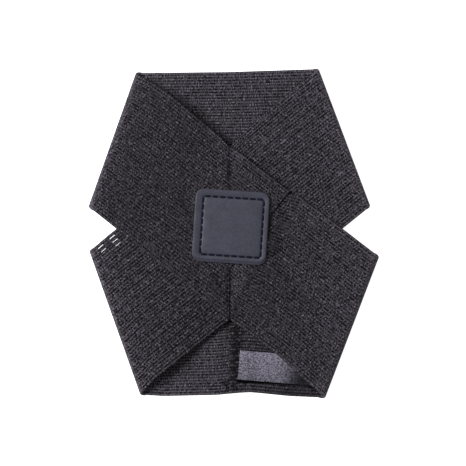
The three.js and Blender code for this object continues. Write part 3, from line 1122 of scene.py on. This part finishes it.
class WRAP_OT_ankle_strap(bpy.types.Operator):
    """Make the ankle strap, from the over strap round the ankle loop to the lap at the lower back"""

    bl_idname = "ankle_wrap.ankle_strap"
    bl_label = "Ankle Strap"

    def execute(self, context):
        band = context.scene.ankle_wrap.band
        left = turned(bend(UPPER_LEFT, BACK_MIDDLE, OVER_END, BACK, OVER_FOLD))
        right = bend(UPPER_RIGHT, BACK_MIDDLE, UNDER_MIDDLE, BACK, UPPER_UNDER)
        lower = turned(bend(LOWER_LEFT, LOWER_BOW, UNDER_BOW, BACK, LOWER_UNDER))
        over = panel(
            across(OVER_END),
            first_row(left),
            over_layer,
            FINE_STEP,
            [OVER],
            furrows=OVER_FURROWS,
            pull=OVER_PULL,
            gain=OVER_PAINTED_SHADE,
        )
        middle = across(UNDER_MIDDLE)
        bow = across(UNDER_BOW)
        back_rows = (last_row(left), across(BACK_MIDDLE), first_row(right))
        back = panels(back_rows, back_layer, PLAIN_STEP, [BACK])
        upper_finishes = [UPPER_UNDER, LOWER_UNDER]
        upper_under = panel(
            last_row(right), middle, under_layer, PLAIN_STEP, upper_finishes, pull=UNDER_PULL
        )
        before = joined(over, left, back, right, upper_under)
        under = joined(
            panel(middle, bow, under_layer, SLOT_STEP, [LOWER_UNDER], pull=UNDER_PULL),
            panel(bow, first_row(lower), under_layer, SLOT_STEP, [LOWER_UNDER]),
        )
        behind_rows = (last_row(lower), across(LOWER_BOW), across(ANKLE_BACK))
        behind = panels(behind_rows, ankle_lap_layer, PLAIN_STEP, [BACK])
        lap = panel(across(ANKLE_BACK), across(ANKLE_LAP), ankle_lap_layer, FINE_STEP, [BACK, LAP])
        span = (len(before.places), len(before.places) + len(under.places) - 1)
        piece = weave("ankle_strap_cloth", joined(before, under, lower, behind, lap), band, span)
        finish_piece(piece, elastic_material(band), "ankle_strap", slot="elastic")
        return {"FINISHED"}


class WRAP_OT_foot_strap(bpy.types.Operator):
    """Make the foot strap, from the lap at the lower back to its end under the over strap"""

    bl_idname = "ankle_wrap.foot_strap"
    bl_label = "Foot Strap"

    def execute(self, context):
        band = context.scene.ankle_wrap.band
        corner = bend(LOWER_RIGHT, FOOT_STRIP, FOOT_BOW, FOOT_CORNER, FOOT)
        back_row = across(FOOT_BACK)
        strip_row = across(FOOT_STRIP)
        lap = panel(across(FOOT_LAP), back_row, foot_lap_layer, FINE_STEP, [LAP], LAP_FURROWS)
        back = panel(back_row, strip_row, foot_lap_layer, FINE_STEP, [LAP, FOOT_INSIDE])
        strip_finishes = [FOOT_INSIDE, FOOT_CORNER]
        strip = panel(
            strip_row, first_row(corner), foot_lap_layer, FINE_STEP, strip_finishes, STRIP_SHADOW_FURROWS
        )
        arm_rows = (last_row(corner), across(FOOT_BOW), across(FOOT_PULL), across(FOOT_UNDER))
        arm = panels(arm_rows, foot_layer, FINE_STEP, [FOOT], FOOT_SHADOW_FURROWS, gain=FOOT_PAINTED_SHADE)
        hidden = panel(across(FOOT_UNDER), across(FOOT_END), foot_layer, PLAIN_STEP, [FOOT])
        piece = weave("foot_strap_cloth", joined(lap, back, strip, corner, arm, hidden), band)
        finish_piece(piece, bpy.data.materials["ribbed_elastic"], "foot_strap", slot="elastic")
        return {"FINISHED"}


def inset_steps(steps, half):
    """Insets the selected face step by step, and returns its half height after them."""
    for thickness, depth in steps:
        bpy.ops.mesh.inset(thickness=thickness * MM, depth=depth * MM)
        half -= thickness * MM
    return half


class WRAP_OT_badge(bpy.types.Operator):
    """Make the moulded badge: a rounded plate with a border, a stitching groove and a raised panel"""

    bl_idname = "ankle_wrap.badge"
    bl_label = "Badge"

    def execute(self, context):
        badge = context.scene.ankle_wrap.badge
        centre, base = badge_centre()
        bpy.ops.object.select_all(action="DESELECT")
        bpy.ops.mesh.primitive_plane_add(size=badge.width, location=(0, 0, 0))
        piece = context.object
        piece.name = piece.data.name = "badge_moulding"
        bpy.ops.object.mode_set(mode="EDIT")
        bpy.ops.mesh.select_all(action="SELECT")
        bpy.ops.transform.resize(value=(1, badge.height / badge.width, 1), center_override=(0, 0, 0))
        bpy.ops.mesh.bevel(
            affect="VERTICES", offset=badge.corner, segments=BADGE_CORNER_SEGMENTS, offset_type="OFFSET"
        )
        bpy.ops.mesh.extrude_region_move(TRANSFORM_OT_translate={"value": (0, 0, BADGE_FOOT)})
        top = inset_steps(BADGE_WALL, badge.height / 2)
        bpy.ops.transform.resize(value=(1, 1 - BADGE_SLOPE / (2 * top), 1), center_override=(0, top, 0))
        top = inset_steps(BADGE_BORDER, top)
        stretch = (2 * top - PANEL_SHORTER) / (2 * top - BADGE_SLOPE)
        bpy.ops.transform.resize(value=(1, stretch, 1), center_override=(0, top, 0))
        bpy.ops.transform.translate(value=(PANEL_CENTRE[0], PANEL_CENTRE[1] - PANEL_SHORTER / 2, 0))
        half = top + (badge.width - badge.height) / 2
        for thickness, height in BADGE_PANEL:
            size = 1 - thickness * MM / half
            bpy.ops.mesh.extrude_region_move(TRANSFORM_OT_translate={"value": (0, 0, height * MM)})
            bpy.ops.transform.resize(value=(size, size, 1), center_override=(*PANEL_CENTRE, 0))
            half -= thickness * MM
        bpy.ops.mesh.select_all(action="SELECT")
        bpy.ops.mesh.normals_make_consistent(inside=False)
        bpy.ops.object.mode_set(mode="OBJECT")
        piece.data.transform(Matrix.Rotation(badge.turn, 4, "Z"))
        piece.data.transform(Matrix.Translation((*centre, base)))
        smooth(piece, BADGE_SMOOTH_ANGLE)
        finish_piece(piece, rubber_material(badge), "badge", slot="badge_rubber")
        return {"FINISHED"}


def groove_frames(badge, inset, height, shift, first=0):
    """Places along a square inside the badge's edge, one for each stitch pitch, with the axes of a stitch."""
    centre, base = badge_centre()
    halves = (badge.width / 2 - inset, (badge.height - PANEL_SHORTER) / 2 - inset)
    count = round((halves[0] + halves[1]) / badge.stitch_pitch)
    turn = np.array(Matrix.Rotation(badge.turn, 2).transposed())
    for side in range(4):
        reach, away = halves[side % 2], halves[1 - side % 2]
        quarter = np.array(Matrix.Rotation(side * math.pi / 2, 2).transposed())
        way = np.array((1.0, 0.0)) @ quarter @ turn
        for number in range(first, count):
            along = 2 * reach * (number + shift) / count - reach
            spot = np.array((along, -away)) @ quarter + PANEL_CENTRE
            yield np.append(centre + spot @ turn, base + height), stitch_axes((*way, 0))


class WRAP_OT_badge_stitches(bpy.types.Operator):
    """Sew the badge round its groove"""

    bl_idname = "ankle_wrap.badge_stitches"
    bl_label = "Badge Stitches"

    def execute(self, context):
        badge = context.scene.ankle_wrap.badge
        template = thread_template(badge.stitch_length, badge.thread, STITCH_LIFT)
        frames = groove_frames(badge, STITCH_INSET, STITCH_HEIGHT, shift=0.5)
        piece = copies("badge_stitches", template, frames)
        finish_piece(piece, thread_material("badge_thread", badge.thread_colour))
        return {"FINISHED"}


class WRAP_OT_badge_bridges(bpy.types.Operator):
    """Make the swellings of rubber between the badge's stitches"""

    bl_idname = "ankle_wrap.badge_bridges"
    bl_label = "Badge Bridges"

    def execute(self, context):
        badge = context.scene.ankle_wrap.badge
        template = thread_template(BRIDGE_LENGTH, BRIDGE_WIDTH, 0)
        frames = groove_frames(badge, BRIDGE_INSET, BRIDGE_HEIGHT, shift=0, first=1)
        piece = copies("badge_bridges", template, frames)
        finish_piece(piece, bpy.data.materials["badge_rubber"], slot="badge_rubber")
        return {"FINISHED"}


class WRAP_OT_size_tab(bpy.types.Operator):
    """Make the folded satin tab that is caught in the lap seam"""

    bl_idname = "ankle_wrap.size_tab"
    bl_label = "Size Tab"

    def execute(self, context):
        label = context.scene.ankle_wrap.label
        along = np.array((math.cos(label.turn), math.sin(label.turn)))
        sideways = np.array((-along[1], along[0]))
        across_tape = np.linspace(0.5, -0.5, TAB_COLUMNS + 1) * label.width
        out = np.linspace(0, 1, TAB_ROWS + 1)
        plies = []
        for share, ply in ((out, 1), (out[::-1], 0)):
            slip = label.slip * (1 - ply) * (1 - share)
            reach = share * label.length
            beside = (across_tape - slip[:, None])[..., None]
            plan = TAB_START + reach[:, None, None] * along + beside * sideways
            mid, thickness = foot_lap_layer(plan)
            lift = label.lift * share**2 + label.ply / 2 + ply * (TAB_HEIGHT - label.ply)
            height = mid + thickness / 2 + CLEAR + lift[:, None]
            # Painted shadow of the foot strap's arm, darkening the upper ply towards its free end.
            shadowed = 1 - TAB_PAINTED_SHADOW * ease(share, *TAB_PAINTED_SHADOW_RANGE)
            tone = np.where(ply, shadowed, UNDER_PLY_PAINTED_SHADE)
            plies.append((np.dstack((plan, height)), tone))
        places = np.concatenate((plies[0][0], plies[1][0][1:]))
        tones = np.concatenate((plies[0][1], plies[1][1][1:]))
        normal = normals_of(places)
        points = [places + side * normal * label.ply / 2 for side in (1, -1)]
        lengths = band_lengths(places)
        widths = np.broadcast_to(across_tape + label.width / 2, lengths.shape)
        tones = tones[:, None] * np.linspace(*TAB_SHADE, TAB_COLUMNS + 1)
        band = np.stack((lengths / MM, widths / MM, tones), axis=-1)
        faces = sheet_faces(np.zeros((places.shape[0] - 1, places.shape[1] - 1), bool))
        piece = sheet_piece("size_tab", points, faces, {"band": (band, band)})
        finish_piece(piece, satin_material(label), "label", slot="label_satin")
        return {"FINISHED"}


class WRAP_OT_seam_stitches(bpy.types.Operator):
    """Sew the front seam above the badge, and the over strap's cut end below it"""

    bl_idname = "ankle_wrap.seam_stitches"
    bl_label = "Seam Stitches"

    def execute(self, context):
        seams = context.scene.ankle_wrap.seams
        frames = []
        for x, top, bottom, sunk in SEAM_ROWS:
            count = round((top - bottom) / (seams.pitch / MM))
            for number, y in enumerate(np.linspace(top, bottom, count + 1)):
                plan = place(x + SEAM_SWAY * (-1) ** number, y)
                mid, thickness = over_layer(plan)
                frames.append((np.append(plan, mid + thickness / 2 - sunk), stitch_axes((0, 1, 0))))
        template = thread_template(seams.stitch_length, seams.thread, STITCH_LIFT)
        finish_piece(copies("seam_stitches", template, frames), thread_material("seam_thread", seams.colour))
        return {"FINISHED"}


class WRAP_OT_lap_stitches(bpy.types.Operator):
    """Sew the lapped ends at the lower back with rows of zigzag"""

    bl_idname = "ankle_wrap.lap_stitches"
    bl_label = "Lap Stitches"

    def execute(self, context):
        seams = context.scene.ankle_wrap.seams
        top = PRESSED + CLEAR + PRESSED
        frames = []
        for left, right, high, low in LAP_ZIGZAGS:
            count = round((high - low) / (seams.zigzag / MM))
            heights = np.linspace(high, low, count + 1)
            for number, (one, two) in enumerate(zip(heights, heights[1:])):
                ends = (left, right) if number % 2 else (right, left)
                start, end = place(ends[0], one), place(ends[1], two)
                frames.append((np.append((start + end) / 2, top), stitch_axes((*(end - start), 0))))
        length = math.hypot(LAP_ZIGZAGS[0][1] - LAP_ZIGZAGS[0][0], seams.zigzag / MM) * MM
        template = thread_template(length, seams.thread, ZIGZAG_LIFT)
        finish_piece(copies("lap_stitches", template, frames), bpy.data.materials["seam_thread"])
        return {"FINISHED"}


class WRAP_OT_stage(bpy.types.Operator):
    """Set the camera straight above, the pale floor and the soft light"""

    bl_idname = "ankle_wrap.stage"
    bl_label = "Stage"

    def execute(self, context):
        stage = context.scene.ankle_wrap.stage
        bpy.ops.object.select_all(action="DESELECT")
        bpy.ops.object.camera_add(location=(*VIEW_CENTRE, stage.distance), rotation=(0, 0, 0))
        camera = context.object
        camera.name = "camera"
        camera.data.sensor_width = SENSOR
        camera.data.lens = SENSOR * stage.distance / stage.view_width
        context.scene.camera = camera

        bpy.ops.object.select_all(action="DESELECT")
        bpy.ops.mesh.primitive_plane_add(size=FLOOR_SIZE, location=(0, 0, 0))
        floor = context.object
        floor.name = "floor"
        s = Shader("pale_floor")
        s.set(Base_Color=FLOOR_COLOUR, Roughness=FLOOR_ROUGHNESS)
        s.set(Emission_Color=WHITE, Emission_Strength=stage.glow)
        floor.data.materials.append(s.material)
        floor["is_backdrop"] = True

        world = bpy.data.worlds.new("studio")
        world.use_nodes = True
        sky = world.node_tree.nodes["Background"]
        sky.inputs["Color"].default_value = WHITE
        sky.inputs["Strength"].default_value = stage.sky
        context.scene.world = world
        bpy.ops.object.light_add(type="AREA", location=KEY_PLACE)
        key = context.object
        key.name = "key"
        key.data.size = KEY_SIZE
        key.data.energy = stage.key
        key.rotation_euler = (-Vector(key.location)).to_track_quat("-Z", "Y").to_euler()
        context.scene.view_settings.view_transform = "Standard"
        return {"FINISHED"}


class WRAP_PT_sidebar(bpy.types.Panel):
    """Lists the pieces of the ankle wrap and their settings"""

    bl_idname = "WRAP_PT_sidebar"
    bl_label = "Ankle Wrap"
    bl_space_type = "VIEW_3D"
    bl_region_type = "UI"
    bl_category = "Ankle Wrap"

    def draw(self, context):
        settings = context.scene.ankle_wrap
        for group in (settings.band, settings.badge, settings.label, settings.seams, settings.stage):
            box = self.layout.box()
            for name in group.__annotations__:
                box.prop(group, name)
        for operator in OPERATORS:
            self.layout.operator(operator.bl_idname)


OPERATORS = (
    WRAP_OT_stage,
    WRAP_OT_ankle_strap,
    WRAP_OT_foot_strap,
    WRAP_OT_badge,
    WRAP_OT_badge_stitches,
    WRAP_OT_badge_bridges,
    WRAP_OT_size_tab,
    WRAP_OT_seam_stitches,
    WRAP_OT_lap_stitches,
)
GROUPS = (WrapBand, WrapBadge, WrapLabel, WrapSeams, WrapStage, WrapSettings)
CLASSES = (*GROUPS, *OPERATORS, WRAP_PT_sidebar)


def register():
    """Registers the classes and the settings."""
    for each in CLASSES:
        bpy.utils.register_class(each)
    bpy.types.Scene.ankle_wrap = PointerProperty(type=WrapSettings)


def unregister():
    """Takes the settings and the classes out again."""
    del bpy.types.Scene.ankle_wrap
    for each in reversed(CLASSES):
        bpy.utils.unregister_class(each)


def main():
    """Makes every piece in order."""
    register()
    bpy.ops.ankle_wrap.stage()
    bpy.ops.ankle_wrap.ankle_strap()
    bpy.ops.ankle_wrap.foot_strap()
    bpy.ops.ankle_wrap.badge()
    bpy.ops.ankle_wrap.badge_stitches()
    bpy.ops.ankle_wrap.badge_bridges()
    bpy.ops.ankle_wrap.size_tab()
    bpy.ops.ankle_wrap.seam_stitches()
    bpy.ops.ankle_wrap.lap_stitches()
    boxes = {"cad": CAD_BOX, "visual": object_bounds()}
    {name: [list(corner) for corner in box] for name, box in boxes.items()}


if __name__ == "__main__":
    main()
